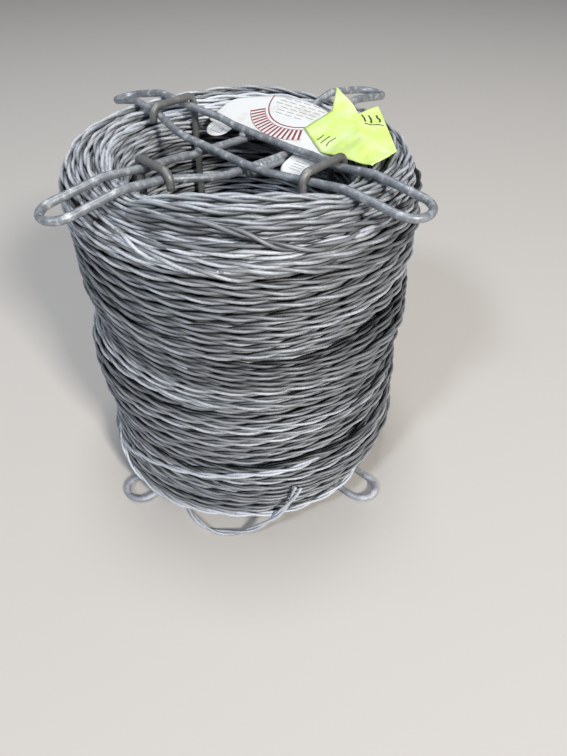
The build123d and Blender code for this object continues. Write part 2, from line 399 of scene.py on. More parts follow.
def node(tree, kind, sockets=None, **settings):
    """Adds a node. sockets gives each input, by name or number, a value or the output that feeds it."""
    made = tree.nodes.new("ShaderNode" + kind)
    for name, value in settings.items():
        setattr(made, name, value)
    for name, value in (sockets or {}).items():
        if isinstance(value, bpy.types.NodeSocket):
            tree.links.new(value, made.inputs[name])
        else:
            made.inputs[name].default_value = value
    return made


RUST_MM = 9                 # across a rust stain


def zinc(name, dark, pale, chalk, chalk_from, metallic, roughness, grain_mm, patch_mm=12, stain=None,
         shaded=False):
    """Hot-dip zinc that has weathered out of doors: dull spangle, white corrosion and fine grain.

    Clean zinc gives long soft highlights down a round wire, and zinc oxide scatters light, so that
    its pale patches have almost none. chalk_from is how pale and grainy the zinc is where they
    start, stain is the colour of rust stains and how few there are, and shaded takes in the shades
    that the mesh has, which hold painted shade in the grooves and painted light where the wire faces out.
    """
    material = bpy.data.materials.new(name)
    material.use_nodes = True
    tree = material.node_tree
    tree.nodes.clear()
    place = node(tree, "TexCoord").outputs["Object"]
    patch = node(tree, "TexNoise", {"Vector": place, "Scale": 1 / (patch_mm * MM), "Detail": 3.0})
    grain = node(tree, "TexNoise", {"Vector": place, "Scale": 1 / (grain_mm * MM), "Detail": 5.0,
                                    "Roughness": 0.7})
    tint = patch.outputs["Fac"]
    # Painted shade and painted light: the mesh's shades set how dark or pale the zinc is.
    if shaded:
        shade = node(tree, "Attribute", attribute_name="shade")
        own = node(tree, "MapRange", {"Value": shade.outputs["Fac"], "From Min": -1.9, "From Max": 2.3})
        tint = node(tree, "Mix", {0: 0.15, 2: own.outputs["Result"], 3: patch.outputs["Fac"]}).outputs[0]
    tint = node(tree, "MapRange", {"Value": tint, "From Min": 0.32, "From Max": 0.86})
    zinc_mix = node(tree, "Mix", {0: tint.outputs["Result"], 6: linear(dark), 7: linear(pale)},
                    data_type="RGBA")
    speck = node(tree, "Math", {0: grain.outputs["Fac"], 1: tint.outputs["Result"]}, operation="ADD")
    white = node(tree, "MapRange", {"Value": speck.outputs[0], "From Min": chalk_from,
                                    "From Max": chalk_from + 0.4, "To Max": 0.85})
    chalky = node(tree, "Mix", {0: white.outputs["Result"], 6: zinc_mix.outputs[2], 7: linear(chalk)},
                  data_type="RGBA")
    colour = chalky.outputs[2]
    if stain is not None:
        spread = node(tree, "TexNoise", {"Vector": place, "Scale": 1 / (RUST_MM * MM), "Detail": 4.0})
        rusty = node(tree, "MapRange", {"Value": spread.outputs["Fac"], "From Min": stain[1],
                                        "From Max": stain[1] + 0.12})
        colour = node(tree, "Mix", {0: rusty.outputs["Result"], 6: colour, 7: linear(stain[0])},
                      data_type="RGBA").outputs[2]
    shiny = node(tree, "MapRange", {"Value": white.outputs["Result"], "To Min": metallic, "To Max": 0.1})
    rough = node(tree, "MapRange", {"Value": grain.outputs["Fac"], "From Min": 0.3, "From Max": 0.7,
                                    "To Min": roughness - 0.06, "To Max": roughness + 0.12})
    bump = node(tree, "Bump", {"Height": grain.outputs["Fac"], "Strength": 0.5, "Distance": 0.25 * MM})
    shader = node(tree, "BsdfPrincipled", {
        "Base Color": colour, "Metallic": shiny.outputs["Result"],
        "Roughness": rough.outputs["Result"], "Normal": bump.outputs["Normal"]})
    node(tree, "OutputMaterial", {"Surface": shader.outputs["BSDF"]})
    return material


# Its near-black colour is painted shade, in the grooves between the strands where the mesh's shades are low.
galvanised_wire = zinc("galvanised_wire_weathered", "#111417", "#b3b9bf", "#d3d9e2", chalk_from=1.2,
                       metallic=0.35, roughness=0.46, grain_mm=1.6, shaded=True)

TIGHT = 5.1                 # from one turn to the next where they lie close
wound_layers = {
    "bore_turns": [
        turns(0, BORE_TOP, TIGHT, own=0.8, shared=2.0),
    ],
    "foot_turns": [
        turns(GIRTH - 2, BARREL_FOOT + 6, TIGHT, own=0.7, shared=1.5),
    ],
    "crown_turns": [
        turns(BORE_TOP, BARREL_TOP, TIGHT, own=0.9, shared=2.0),
        turns(BARREL_TOP, BORE_TOP, 5.8, own=1.4, shared=2.5, bunch=1),
        turns(BORE_TOP + 6, BARREL_TOP, 8.0, own=2.0, shared=3.0, bunch=3, slide=2),
    ],
    "barrel_turns_inner": [
        turns(BARREL_TOP, BARREL_FOOT, TIGHT, own=0.8, shared=2.5),
    ],
    "barrel_turns_middle": [
        turns(BARREL_FOOT + 3, BARREL_TOP, 5.6, own=1.2, shared=3.0, bunch=1.5),
    ],
    "barrel_turns_outer": [
        turns(BARREL_TOP - 10, BARREL_FOOT, 6.8, own=1.7, shared=3.5, bunch=2.5, slide=3),
    ],
}
CHALK_AND_LIGHT_LIFTS = {"crown_turns": 0.6, "bore_turns": 0.9}     # how much paler the wire is there: painted light on the crown and in the bore, over the crown's chalky white
for piece_name, runs in wound_layers.items():
    layer = wire_piece(piece_name, runs, galvanised_wire, CHALK_AND_LIGHT_LIFTS.get(piece_name, 0.0))
    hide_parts("wire_coil")

# Inside of the winding
# A smooth sheet in the coil's shape under the turns that show, in near-black zinc: painted shade
# for the same wire packed tight below and held by the turns over it. They look nearly black, because little
# light gets in between the outer turns.
SHADE_DEPTH = 2.0           # how far below the first turns that show
PACKED_STEPS = 96           # places round the coil
PACKED_ROW = 5.0            # from one row of them to the next
# Near-black colours: painted shade.
painted_shade_wire = zinc("painted_shade_inside_winding", "#131416", "#1c1e20", "#232527", chalk_from=1.3, metallic=0.2,
                   roughness=0.6, grain_mm=5.0)
angles = np.arange(PACKED_STEPS) * math.tau / PACKED_STEPS
packed_points = []
for distance in np.arange(0, GIRTH, PACKED_ROW):
    depth = read_off(DEPTHS, distance) + SHADE_DEPTH
    level = rise(distance, np.degrees(angles)) - depth
    packed_points.append(on_outline(np.full(PACKED_STEPS, distance), angles, level)[0])
rings = len(packed_points)
ring, spot = np.meshgrid(np.arange(rings), np.arange(PACKED_STEPS), indexing="ij")
next_ring, next_spot = (ring + 1) % rings, (spot + 1) % PACKED_STEPS
packed_faces = np.stack([ring * PACKED_STEPS + spot, next_ring * PACKED_STEPS + spot,
                         next_ring * PACKED_STEPS + next_spot, ring * PACKED_STEPS + next_spot], -1)
painted_shade_sheet = mesh_piece("painted_shade_sheet", np.vstack(packed_points), packed_faces.reshape(-1, 4), painted_shade_wire)
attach(painted_shade_sheet, "root")
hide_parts("wire_coil")

# Loose turns
# Turns of the same wire that were wound last and slackened: they lie across the others, high on the
# shoulder and low down by the foot.
# Where they go, as degrees from link A and heights: two high up, then two low down
LOOSE_ROUTES = [
    [(-92, 281), (-76.4, 284), (-65, 284.1), (-55, 284.6), (-43, 281.3), (-34.4, 273.3), (-28, 271.9),
     (-21, 270.4), (-8.4, 275), (0, 278)],
    [(-94, 276), (-78, 275.6), (-71.3, 266), (-60.8, 264.6), (-51.3, 258.5), (-43.6, 253.4), (-36, 250)],
    [(-126, 30), (-113, 36), (-103, 43), (-96, 50), (-89.8, 54.6), (-78, 63.2), (-66.8, 67.3),
     (-60, 70.4), (-50.7, 75), (-41.5, 77.6), (-29, 76), (-16, 70)],
    [(-128, 62), (-116, 48), (-106.5, 34), (-98, 17), (-91, 12), (-79, 16.2), (-67, 19.2),
     (-56.6, 22.4), (-46.7, 21.9), (-37.3, 20), (-27, 18), (-16.6, 18.7), (-10.4, 21), (-3.8, 30.6),
     (4.3, 34), (12, 41)],
]
PROUD = 2.6                 # how much further out than the other turns they can lie


def laid_over(route):
    """A length of wire over the winding along a route, as points and outward directions."""
    turned, heights = np.array(route, float).T
    columns = np.arange(round(turned[0] / 360 * STEPS), round(turned[-1] / 360 * STEPS) + 1)
    height = smooth(np.interp(columns * 360 / STEPS, turned, heights), 2)
    side = (OUTLINE[:, 0] >= CROWN) & (OUTLINE[:, 0] < FOOT_FLAT)
    along = np.interp(-height, -OUTLINE[side, 2], OUTLINE[side, 0])
    rows, column, half, touch = seats(along, columns % STEPS)
    ceiling = read_off(CEILING, along) + rise(along, columns * 360 / STEPS) + PROUD
    rest = kept_under(ceiling, smooth(bridged(touch), STIFF))
    lay_on_heap(rows, column, half, rest)
    rest -= tucked_in(len(rest), depth=16, steps=9)
    return on_outline(along, columns * math.tau / STEPS, rest)


for piece_name, routes, lift in (("loose_turns_upper", LOOSE_ROUTES[:2], 0.7),
                                 ("loose_turns_lower", LOOSE_ROUTES[2:], 2.0)):
    loose = wire_piece(piece_name, [laid_over(route) for route in routes], galvanised_wire, lift)
    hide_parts("wire_coil")

# Loose end
# The last of the same wire: it drops from under the coil to the floor and springs up against the
# barrel again, with its two strands parting at the cut end.
# Its route, as degrees from link A, distances from the axis and heights
TAIL_ROUTE = [
    (-83.0, 122.0, 3.0),
    (-75.5, 127.0, 2.8),
    (-68.5, 137.0, 2.6),
    (-61.0, 145.0, 2.6),
    (-52.5, 143.6, 2.6),
    (-46.0, 141.4, 6.6),
    (-40.3, 140.6, 16.6),
    (-35.8, 140.2, 28.0),
    (-32.4, 139.8, 42.0),
    (-30.0, 139.6, 56.5),
]
TAIL_PARTING = 30.0         # how far from the cut end the strands start to part
TAIL_PARTED = 1.2           # how much further from the wire's middle each of them is at the cut
TAIL_STEP = 2.5             # from one ring of its mesh to the next
TAIL_PALE = 1.8             # how much paler it is than the turns on average, and by how much that varies
TAIL_VARIED = 0.3
TAIL_SHADE_LENGTH = 17.0

route = bpy.data.curves.new("tail_route", "CURVE")
route.dimensions = "3D"
route.resolution_u = 12
spline = route.splines.new("NURBS")
spline.points.add(len(TAIL_ROUTE) - 1)
for point, (turned, radius, height) in zip(spline.points, TAIL_ROUTE):
    turned = math.radians(turned)
    point.co = (radius * math.cos(turned) * MM, radius * math.sin(turned) * MM, height * MM, 1)
spline.order_u = 3
spline.use_endpoint_u = True
route_object = bpy.data.objects.new("tail_route", route)
line = bpy.data.meshes.new_from_object(route_object)
tail_line = np.array([v.co for v in line.vertices]) / MM
bpy.data.objects.remove(route_object)
bpy.data.curves.remove(route)
bpy.data.meshes.remove(line)

tail_span = np.linalg.norm(np.diff(tail_line, axis=0), axis=1).sum()


def parting(place):
    """How far a strand's middle is from the wire's: more and more toward the cut end."""
    return STRAND_R + TAIL_PARTED * np.clip(1 - (tail_span - place) / TAIL_PARTING, 0, 1) ** 2


points, faces, places, _ = twisted_pair(tail_line, np.tile(UPWARD, (len(tail_line), 1)), start_turn=0.4,
                                        step=TAIL_STEP, spread=parting)
wire_end = mesh_piece("loose_wire_end", points, faces, galvanised_wire,
                      TAIL_PALE + TAIL_VARIED * np.sin(places / TAIL_SHADE_LENGTH))
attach(wire_end, "root")
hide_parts("wire_tail")

# Links
# Closed loops of 5.5 mm galvanised rod, bent by machine and crossed in pairs over both ends of the
# coil. Their rods dip over the bore, close up before the hooks and ride on the crown to a round tip.
ROD_R = 2.75
ROD_SIDES = 14
CLEARANCE = 0.3             # between a rod and the wire that it lies along
RIDE = ROD_R + CLEARANCE    # rod's middle above the crown
SEAT = 0.2                  # play of a hook round a rod
HOOK_FREE = 1.0             # between a hook's rod and the bends before and after it
WELD_GAP = 0.05
CENTRE_GAP = 42.0           # between the middles of a link's two rods over the bore, and at its loops
LOOP_GAP = 27.0
LINK_DISH = 7.0             # how far link A lies inside the crown over the bore, where it isn't bent
PINCH_START = 46.0          # distance from the middle where the rods start to close up
CROWN_REACH = 118.0         # distance up to which a bottom link lies along the crown
BOTTOM_DROOP = 1.5          # how far its tip bends back from there
THINNED = 0.02              # share by which a rod is thinner here and there
THINNED_LENGTH = 9.0
SHALLOW_BEND_R = {"top": 30.0, "bottom": 9.0}
CLIMB_START = 32.0          # distances from the middle where a top link starts to climb, and has
ON_CROWN = 104.0
TOP_MIDDLE = {"a": -4.8, "b": -10.6}    # height from the crown over the bore
# Each end of a top link: half its gap at the hook and at the tip, how far out it reaches, and its
# heights from the crown where it starts to climb, at the hook, on the crown and at the tip
TOP_ENDS = {
    ("a", 1): (15.5, 13.6, 154.2, (-5.6, -3.7, -0.2, -5.5)),
    ("a", -1): (14.3, 10.5, 142.0, (-3.2, 3.2, 6.0, -1.7)),
    ("b", 1): (13.5, 11.5, 147.5, (-10.3, -2.2, 7.2, 1.1)),
    ("b", -1): (12.0, 12.5, 153.3, (-10.6, -3.9, -0.9, -7.7)),
}
LINK_B_TURN = math.radians(85.6)
HOOK_R = 2 * ROD_R + SEAT
HOOK_SIDE = LOOP_GAP / 2 + HOOK_R
HOOK_OUT = math.sqrt((BORE_R - ROD_R - CLEARANCE) ** 2 - HOOK_SIDE**2)
PINCH_END = HOOK_OUT - ROD_R - HOOK_FREE
LINK_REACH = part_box("bottom_link_a")[1].x / MM - ROD_R
DISH = {"a": LINK_DISH, "b": LINK_DISH + 2 * ROD_R + WELD_GAP}


def bent(points, radii, spacing=3.0):
    """A line through the runs between points, with a round bend of its own radius at each corner."""
    points = [np.array(point, float) for point in points]
    line = [points[0]]
    for before, corner, after, radius in zip(points, points[1:], points[2:], radii):
        into = (corner - before) / np.linalg.norm(corner - before)
        away = (after - corner) / np.linalg.norm(after - corner)
        turn = math.acos(np.clip(into @ away, -1, 1))
        if turn < 0.001:
            continue
        inward = (away - into * math.cos(turn)) / math.sin(turn)
        start = corner - into * radius * math.tan(turn / 2)
        for angle in np.linspace(0, turn, max(3, round(turn * radius / spacing) + 2)):
            line.append(start + radius * (inward * (1 - math.cos(angle)) + into * math.sin(angle)))
    line.append(points[-1])
    dense = [line[0]]
    for start, end in zip(line, line[1:]):
        count = max(1, round(np.linalg.norm(end - start) / spacing))
        dense += [start + (end - start) * k / count for k in range(1, count + 1)]
    return np.array(dense)


def bottom_side(dish):
    """One rod of a bottom link: distance from the middle, half the gap and height from the crown."""
    wide, close = CENTRE_GAP / 2, LOOP_GAP / 2
    climb_start = HOOK_OUT + ROD_R + HOOK_FREE
    lip_out = math.sqrt((BORE_R + LIP_R) ** 2 - close**2)
    across, down = lip_out - climb_start, LIP_R - dish
    slope = math.asin((LIP_R + RIDE) / math.hypot(across, down)) - math.atan2(down, across)
    return [(0, wide, -dish), (PINCH_START, wide, -dish), (PINCH_END, close, -dish),
            (climb_start, close, -dish), (climb_start + (dish + RIDE) / math.tan(slope), close, RIDE),
            (CROWN_REACH, close, RIDE), (LINK_REACH, close, RIDE - BOTTOM_DROOP)]


def top_side(letter, sign):
    """The same for a top link, whose ends have each been bent a little their own way."""
    hook_gap, tip_gap, reach, heights = TOP_ENDS[letter, sign]
    places = [0, CLIMB_START, HOOK_OUT, ON_CROWN, reach]
    side = []
    for x in sorted(places + [PINCH_START]):
        gap = np.interp(x, [PINCH_START, HOOK_OUT, reach], [CENTRE_GAP / 2, hook_gap, tip_gap])
        side.append((x, gap, np.interp(x, places, (TOP_MIDDLE[letter], *heights))))
    return side


def half_link(side, bend_r):
    """The middle line of half a link, from its middle round the tip and back."""
    far = [(x, -y, z) for x, y, z in reversed(side)]
    shallow = [bend_r] * (len(side) - 2)
    tip_r = side[-1][1] - 0.01          # the two corners of the tip just don't meet
    return bent(side + far, shallow + [tip_r] * 2 + shallow)


def turned_about_z(points, angle):
    """Points turned about the coil's axis."""
    c, s = math.cos(angle), math.sin(angle)
    return points @ np.array([[c, s, 0], [-s, c, 0], [0, 0, 1]])


def uneven(points, size, reach, seed):
    """Points of a closed line strayed by up to about size, as a bent rod is never quite true.

    Each seed and axis takes a place of its own in the noise.
    """
    strayed = points.copy()
    for axis in range(3):
        for k, point in enumerate(points):
            at = Vector(point) / reach + Vector((seed * 7.3, axis * 11.1, 0))
            strayed[k, axis] += size * 2 * noise.noise(at)
    return strayed


# The rods over the coil are an even grey with a dull shine, and have a few brown stains.
galvanised_rod = zinc("galvanised_rod_weathered", "#7b8188", "#acb2b8", "#ced2d6", chalk_from=0.95,
                      metallic=0.4, roughness=0.42, grain_mm=1.4, patch_mm=5, stain=("#8a7a68", 0.68))
# The pair on the ground has gone chalky all over from the damp, and its zinc is also painted paler than the
# top pair's: painted light, as these rods lie low by the floor and get less light from above.
chalky_and_lit_rod = zinc("galvanised_rod_chalky_and_lit", "#8f959f", "#b3b8c2", "#d3d7e0", chalk_from=0.7,
                  metallic=0.25, roughness=0.5, grain_mm=1.1)
for seed, (end, crown, upward) in enumerate((("top", TOP_CROWN, 1), ("bottom", BOTTOM_CROWN, -1))):
    for letter, turn in (("a", 0.0), ("b", LINK_B_TURN)):
        halves = []
        for sign in (1, -1):
            side = top_side(letter, sign) if end == "top" else bottom_side(DISH[letter])
            halves.append(half_link(side, SHALLOW_BEND_R[end]))
        line = np.vstack([halves[0][:-1], (halves[1][::-1] * [-1, 1, 1])[:-1]])
        line = turned_about_z(line, turn) * [1, 1, upward] + [0, 0, crown]
        if end == "top":
            line = uneven(line, size=0.5, reach=60.0, seed=seed + turn)
        thick = ROD_R * (1 - THINNED * np.abs([noise.noise(Vector(p) / THINNED_LENGTH) for p in line]))
        points, faces = tube(line, UPWARD, thick, ROD_SIDES, closed=True)
        finish = galvanised_rod if end == "top" else chalky_and_lit_rod
        rod = mesh_piece(f"{end}_link_{letter}_rod", points, faces, finish)
        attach(rod, "root")
        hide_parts(f"{end}_link_{letter}")

# Welds
# Each crossing of a pair of links is held by a bead of arc weld, galvanised with the rods. The two
# ends of link B's rod lie side by side over the bore, with a longer weld in the groove between.
LAP_LENGTH = 34.0           # how much of the two ends lies side by side
LAP_DROP = math.radians(30.0)           # how far the outer one is turned down round the other
LAP_APART = 2 * ROD_R - 1.2             # between their middles, as they are melted together a little
LAP_RINGS = 14
CUT_ROUNDING = 0.82         # radius of the rod's cut ends as a share of the rod's
BEAD_R = 3.1
BEAD_FLAT = 0.75            # its height as a share of its width
BEAD_UNEVEN = 0.3
BEAD_ASTRAY = 1.5           # how far a bead is off the middle of its crossing
GROOVE_BEADS = 9
GROOVE_SHARE = 0.84         # of the lap's length that is welded
GROOVE_BEAD_RADII = (2.2, 2.6, 1.5)
GROOVE_OUT = 0.6            # how far out and up the weld is from between the middles of the ends
GROOVE_UP = 1.3


def lumpy_ball(place, radii, seed):
    """A bead of weld metal as points and faces, its surface uneven."""
    ball = bmesh.new()
    bmesh.ops.create_icosphere(ball, subdivisions=3, radius=1.0)
    points = []
    for v in ball.verts:
        swell = 1 + BEAD_UNEVEN * noise.noise(v.co * 1.4 + Vector((seed * 3.7, 0, 0)))
        points.append([place[axis] + radii[axis] * v.co[axis] * swell for axis in range(3)])
    faces = [[v.index for v in face.verts] for face in ball.faces]
    ball.free()
    return np.array(points), faces


def joined(parts):
    """Several meshes as the points and faces of one."""
    points, faces = [], []
    for part_points, part_faces in parts:
        first = sum(len(p) for p in points)
        points.append(part_points)
        faces += [[first + int(corner) for corner in face] for face in part_faces]
    return np.vstack(points), faces


bead_seed = 0
for end, crown, upward in (("top", TOP_CROWN, 1), ("bottom", BOTTOM_CROWN, -1)):
    beads = []
    half = CENTRE_GAP / 2
    middle = TOP_MIDDLE["a"] if end == "top" else -LINK_DISH
    height = crown + upward * (middle - ROD_R)
    for side_a in (-1, 1):
        for side_b in (-1, 1):
            along_b = (half * side_a + half * side_b * math.cos(LINK_B_TURN)) / math.sin(LINK_B_TURN)
            x = along_b * math.cos(LINK_B_TURN) + half * side_b * math.sin(LINK_B_TURN)
            bead_seed += 1
            # Each bead strays its own way.
            x += BEAD_ASTRAY * math.sin(bead_seed * 2.1)
            y = half * side_a + BEAD_ASTRAY * math.cos(bead_seed * 3.3)
            beads.append(lumpy_ball((x, y, height), (BEAD_R, BEAD_R, BEAD_FLAT * BEAD_R), bead_seed))
    if end == "top":
        out = half + 0.5 * LAP_APART * math.cos(LAP_DROP) + GROOVE_OUT
        level = TOP_MIDDLE["b"] - 0.5 * LAP_APART * math.sin(LAP_DROP) + GROOVE_UP
        for share in np.linspace(-GROOVE_SHARE / 2, GROOVE_SHARE / 2, GROOVE_BEADS):
            groove = turned_about_z(np.array([share * LAP_LENGTH, -out, level]), LINK_B_TURN)
            beads.append(lumpy_ball(groove + [0, 0, crown], GROOVE_BEAD_RADII, bead_seed + share * 9))
    points, faces = joined(beads)
    welds = mesh_piece(f"{end}_link_welds", points, faces, galvanised_rod)
    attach(welds, "root")

    middle = TOP_MIDDLE["b"] if end == "top" else -DISH["b"]
    lap = np.column_stack([np.linspace(-LAP_LENGTH / 2, LAP_LENGTH / 2, LAP_RINGS),
                           np.full(LAP_RINGS, -half - LAP_APART * math.cos(LAP_DROP)),
                           np.full(LAP_RINGS, middle - LAP_APART * math.sin(LAP_DROP))])
    lap = turned_about_z(lap, LINK_B_TURN) * [1, 1, upward] + [0, 0, crown]
    thick = np.full(LAP_RINGS, ROD_R)
    thick[[0, -1]] = CUT_ROUNDING * ROD_R
    points, faces = tube(lap, UPWARD, thick, ROD_SIDES)
    lapped_end = mesh_piece(f"{end}_link_b_lapped_end", points, faces, galvanised_rod)
    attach(lapped_end, "root")
    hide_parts(f"{end}_link_b")

# Core rods
# Four lengths of the same rod, straight down the wall of the bore and hooked at both ends over the
# two rods of a link. They have rusted more than the links, in brown patches.
HOOK_LEG = 5.0
LEANING_LENGTH = 60.0       # length under the top hook over which a rod leans aside, and the bend's radius
TOP_SLACK = 1.03            # how loosely the top hooks lie over the bent links, as a share of their radius
rusting_rod = zinc("galvanised_rod_rusting", "#6a6b6b", "#949593", "#bab8b2", chalk_from=1.0,
                   metallic=0.45, roughness=0.46, grain_mm=1.2, stain=("#755f4b", 0.66))
for number, (letter, sign) in enumerate((("a", 1), ("b", 1), ("a", -1), ("b", -1)), start=1):
    turn = (LINK_B_TURN if letter == "b" else 0.0) + (math.pi if sign < 0 else 0.0)
    hook_gap, _, _, (_, at_hook, _, _) = TOP_ENDS[letter, sign]
    side = hook_gap + HOOK_R
    top_bar = TOP_CROWN + at_hook + TOP_SLACK * HOOK_R
    bottom_bar = BOTTOM_CROWN + DISH[letter] - HOOK_R
    leg = HOOK_R + HOOK_LEG
    line = bent([(HOOK_OUT, side, top_bar - leg), (HOOK_OUT, side, top_bar),
                 (HOOK_OUT, -side, top_bar), (HOOK_OUT, -HOOK_SIDE, top_bar - LEANING_LENGTH),
                 (HOOK_OUT, -HOOK_SIDE, bottom_bar), (HOOK_OUT, HOOK_SIDE, bottom_bar),
                 (HOOK_OUT, HOOK_SIDE, bottom_bar + leg)],
                [HOOK_R, HOOK_R, LEANING_LENGTH, HOOK_R, HOOK_R], spacing=2.0)
    line = turned_about_z(line, turn)
    points, faces = tube(line, [math.cos(turn), math.sin(turn), 0.0], ROD_R, ROD_SIDES)
    rod = mesh_piece(f"hooked_rod_{number}", points, faces, rusting_rod)
    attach(rod, "root")
    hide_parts(f"core_rod_{number}")

# Label card
# A die-cut card, coated white on both sides, pushed in under link A. Two ears reach under the rod.
# Its printing is worn: an arc with a row of plain bars round it in dull red, and thin grey rules.
CARD_T = 0.4                # thickness
CARD_LEFT = -67.0
CARD_RIGHT = 56.0
CARD_SLOPE = math.radians(17.6)
CARD_NEAR = 26.0 / math.cos(CARD_SLOPE)     # how far up its slope its near edge is, and its far one
CARD_FAR = 75.0 / math.cos(CARD_SLOPE)
CARD_ARC_R = 86.0           # radius of the round far edge, and its middle's place along the card
CARD_ARC_X = -8.0
CARD_CORNER = 5.0
CARD_ROWS = 22
CARD_COLUMNS = 86
CARD_WAVE = 0.35            # height of its waves, and their lengths along and up the card
CARD_WAVE_LENGTHS = (34.0, 26.0)
EAR_R = 11.0
EAR_DROOP = 0.5             # how far the tips of the ears hang, from EAR_ROOT on
EAR_ROOT = 20.0
EARS = [(-49.0, 12.8), (40.0, 2.0)]     # place along the card, and how near the middle each reaches
CARD_UNDER_ROD = TOP_CROWN - LINK_DISH - ROD_R - CLEARANCE


def card_edges(x):
    """The near and the far edge of the card at x, both as distances up its slope."""
    far = CARD_FAR - CARD_ARC_R + math.sqrt(CARD_ARC_R**2 - (x - CARD_ARC_X) ** 2)
    near = CARD_NEAR
    for ear_x, reach in EARS:
        aside = abs(x - ear_x)
        if aside < EAR_R:
            tip = reach / math.cos(CARD_SLOPE) + EAR_R
            near = tip - math.sqrt(EAR_R**2 - aside**2)
    from_side = min(x - CARD_LEFT, CARD_RIGHT - x)
    if from_side < CARD_CORNER:
        rounding = CARD_CORNER - math.sqrt(CARD_CORNER**2 - (CARD_CORNER - from_side) ** 2)
        near, far = near + rounding, far - rounding
    return near, far


def card_level(y):
    """The height of the flat card's upper face, which passes under the rod of link A."""
    return CARD_UNDER_ROD + (y - CENTRE_GAP / 2) * math.tan(CARD_SLOPE)


def on_card(x, up_slope, above=0.0):
    """A point of the card's upper face, which is a little wavy from damp."""
    along, up = CARD_WAVE_LENGTHS
    wave = CARD_WAVE * (noise.noise(Vector((x / along, up_slope / up, 2.0))) - 0.4)
    drop = EAR_DROOP * max(0.0, (EAR_ROOT - up_slope) / EAR_ROOT) ** 2
    y = up_slope * math.cos(CARD_SLOPE)
    return [x, y, card_level(y) + min(0.0, wave) - drop + above]


def sheet_solid(points, faces, offset):
    """A thin sheet with its other side and its rim, as points and faces."""
    points = np.array(points, float)
    count = len(points)
    edges = [edge for face in faces for edge in zip(face, face[1:] + face[:1])]
    known = set(edges)
    rim = [(b, a, a + count, b + count) for a, b in edges if (b, a) not in known]
    other = [tuple(corner + count for corner in reversed(face)) for face in faces]
    return np.vstack([points, points + offset]), list(faces) + other + rim


def grid_faces(columns, rows):
    """Four-sided faces over points that run row by row up each column."""
    return [(c * rows + r, (c + 1) * rows + r, (c + 1) * rows + r + 1, c * rows + r + 1)
            for c in range(columns - 1) for r in range(rows - 1)]


# Columns of points across the card, with closer ones round the ears and a pair a hair apart at each
# side of an ear, where the near edge steps out
HAIR = 0.01
across = list(np.linspace(CARD_LEFT + HAIR, CARD_RIGHT - HAIR, CARD_COLUMNS))
for ear_x, _ in EARS:
    across += [ear_x - EAR_R - HAIR, ear_x + EAR_R + HAIR]
    across += [ear_x + EAR_R * math.sin(a) * 0.9999 for a in np.linspace(-math.pi / 2, math.pi / 2, 25)]
across = sorted(across)
card_points = []
for x in across:
    near, far = card_edges(x)
    card_points += [on_card(x, near + (far - near) * k / (CARD_ROWS - 1)) for k in range(CARD_ROWS)]
points, faces = sheet_solid(card_points, grid_faces(len(across), CARD_ROWS), [0, 0, -CARD_T])


STAIN_MM = 14               # across a stain of the paper


def paper(name, colour, worn, worn_from, roughness):
    """Matt paper: plain colour with soft stains. Its small waves catch the light unevenly."""
    material = bpy.data.materials.new(name)
    material.use_nodes = True
    tree = material.node_tree
    tree.nodes.clear()
    place = node(tree, "TexCoord").outputs["Object"]
    spread = node(tree, "TexNoise", {"Vector": place, "Scale": 1 / (STAIN_MM * MM), "Detail": 6.0,
                                     "Roughness": 0.62})
    stained = node(tree, "MapRange", {"Value": spread.outputs["Fac"], "From Min": worn_from,
                                      "From Max": worn_from + 0.2, "To Max": 0.8})
    mixed = node(tree, "Mix", {0: stained.outputs["Result"], 6: linear(colour), 7: linear(worn)},
                 data_type="RGBA")
    bump = node(tree, "Bump", {"Height": spread.outputs["Fac"], "Strength": 0.2, "Distance": 0.4 * MM})
    shader = node(tree, "BsdfPrincipled", {"Base Color": mixed.outputs[2], "Roughness": roughness,
                                           "Normal": bump.outputs["Normal"]})
    node(tree, "OutputMaterial", {"Surface": shader.outputs["BSDF"]})
    return material


white_card = paper("white_card_coated", "#e0e3e4", "#c9c6be", worn_from=0.52, roughness=0.5)
label_card = mesh_piece("coated_label_card", points, faces, white_card)
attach(label_card, "root")
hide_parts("label_card")

PRINT_X = -1.0              # middle of the printed arc
PRINT_UP = 81.0
PRINT_ARC_R = 34.3
BAR_ROW = (37.5, 48.5)      # inner and outer radius of the row of bars
BARS_FROM = 217             # where the row starts and ends, in degrees round the middle of the arc
BARS_TO = 300
BAR_PITCH = 5.2             # degrees
RULE_ROWS = (58.0, 61.5, 65.0, 68.5, 72.0, 75.5)
RULE_LENGTH = 7.0
RULE_PITCH = 9.5
RULE_INDENT = 3.0
PRINT_MARGIN = 5.0          # between the rules and the arc round them
INK_THICKNESS = 0.05


def printed_strip(route, width, lie=on_card):
    """A line on the card along a route of (x, distance up the slope), or on another sheet."""
    route = np.array(route, float)
    along = np.gradient(route, axis=0)
    along /= np.linalg.norm(along, axis=1)[:, None]
    side = np.column_stack([-along[:, 1], along[:, 0]]) * width / 2
    points = []
    for left, right in zip(route + side, route - side):
        points += [lie(*right, INK_THICKNESS), lie(*left, INK_THICKNESS)]
    return np.array(points), grid_faces(len(route), 2)


def printed_arc(radius, start, end, width):
    """An arc on the card, its ends in degrees round the middle of the print."""
    angles = np.radians(np.linspace(start, end, max(4, round(radius * abs(end - start) / 60))))
    return printed_strip(np.column_stack([PRINT_X + radius * np.cos(angles),
                                          PRINT_UP + radius * np.sin(angles)]), width)


def printed_rule(start, up, length, width):
    """A short level line on the card."""
    return printed_strip([(start, up), (start + length / 2, up), (start + length, up)], width)


